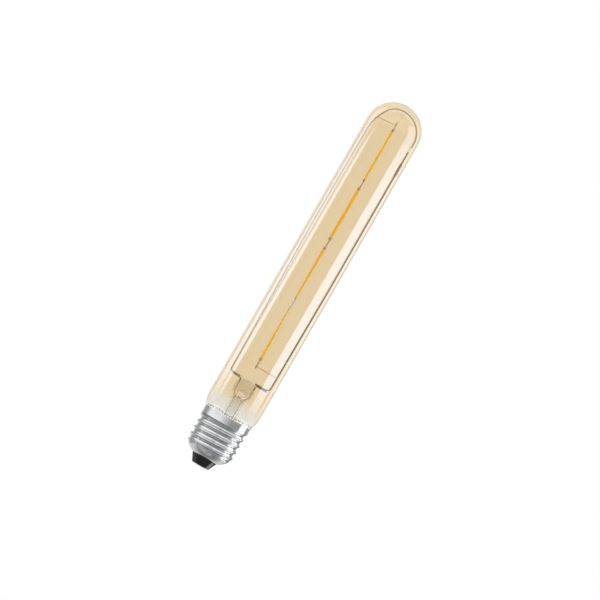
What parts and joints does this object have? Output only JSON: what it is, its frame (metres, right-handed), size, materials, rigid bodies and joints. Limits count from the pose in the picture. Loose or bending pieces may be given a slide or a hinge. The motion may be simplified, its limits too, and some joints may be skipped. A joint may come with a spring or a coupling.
{
  "type": "tubular light bulb",
  "caption": "Tubular screw-cap light bulb of amber glass with looped support wires and a chain of unlit filament strips on a glass stem.",
  "frame": {"origin": "centre of the flat face of the centre contact, on the bulb's axis", "axes": "+Z along the axis from the cap to the dome; +X towards the straight support rod; +Y away from the side that the picture shows"},
  "size_m": [0.03, 0.03, 0.2158],
  "materials": {
    "amber_glass": "thin amber glass that fades to clear at the neck, polished by fire",
    "clear_glass": "clear glass of the stem, polished by fire",
    "copper_wire": "drawn copper wire, borated red where it is sealed in glass",
    "nickel_wire": "drawn nickel-plated wire, dull",
    "strip_metal": "stamped plated strip, satin",
    "cap_metal": "rolled sheet with bright nickel plating",
    "black_glass": "black pressed glass, glossy",
    "contact_brass": "stamped brass, lightly worn",
    "solder": "cast solder, satin",
    "cement": "baked capping cement, matt",
    "circuit_board": "glass-fibre board with green lacquer",
    "component_black": "moulded black resin",
    "capacitor_sleeve": "shrunk dark sleeve",
    "resistor_body": "lacquered resistor body",
    "led_chip": "bare light-emitting chips",
    "phosphor_coat": "orange-yellow silicone with phosphor, unlit"
  },
  "bodies": {
    "root": {"board_solder_joints": "solder", "bottom_cross_wire": "nickel_wire", "bottom_terminal": "strip_metal", "bridge_rectifier": "component_black", "cap_cement": "cement", "cap_insulator": "black_glass", "cap_shell": "cap_metal", "centre_contact": "contact_brass", "contact_solder": "solder", "contact_wire": "copper_wire", "driver_board": "circuit_board", "driver_chip": "component_black", "exhaust_tube": "clear_glass", "filament_1_bottom_tab": "strip_metal", "filament_1_coat": "phosphor_coat", "filament_1_dies": "led_chip", "filament_1_strip": "strip_metal", "filament_1_top_tab": "strip_metal", "filament_2_bottom_tab": "strip_metal", "filament_2_coat": "phosphor_coat", "filament_2_dies": "led_chip", "filament_2_strip": "strip_metal", "filament_2_top_tab": "strip_metal", "filament_3_bottom_tab": "strip_metal", "filament_3_coat": "phosphor_coat", "filament_3_dies": "led_chip", "filament_3_strip": "strip_metal", "filament_3_top_tab": "strip_metal", "filament_4_bottom_tab": "strip_metal", "filament_4_coat": "phosphor_coat", "filament_4_dies": "led_chip", "filament_4_strip": "strip_metal", "filament_4_top_tab": "strip_metal", "filament_link_1": "strip_metal", "filament_link_2": "strip_metal", "filament_link_3": "strip_metal", "fusible_resistor": "resistor_body", "glass_envelope": "amber_glass", "left_inner_lead": "nickel_wire", "left_outer_lead": "copper_wire", "left_seal_wire": "copper_wire", "loop_support_wire": "nickel_wire", "right_inner_lead": "nickel_wire", "right_outer_lead": "copper_wire", "right_rod_tip": "nickel_wire", "right_seal_wire": "copper_wire", "right_support_rod": "nickel_wire", "rod_sleeve": "nickel_wire", "sense_resistors": "component_black", "shell_solder_joint": "solder", "shell_wire": "copper_wire", "smoothing_capacitor": "capacitor_sleeve", "stem_flare": "clear_glass", "top_cross_wire": "nickel_wire", "top_terminal": "strip_metal"}
  },
  "joints": []
}
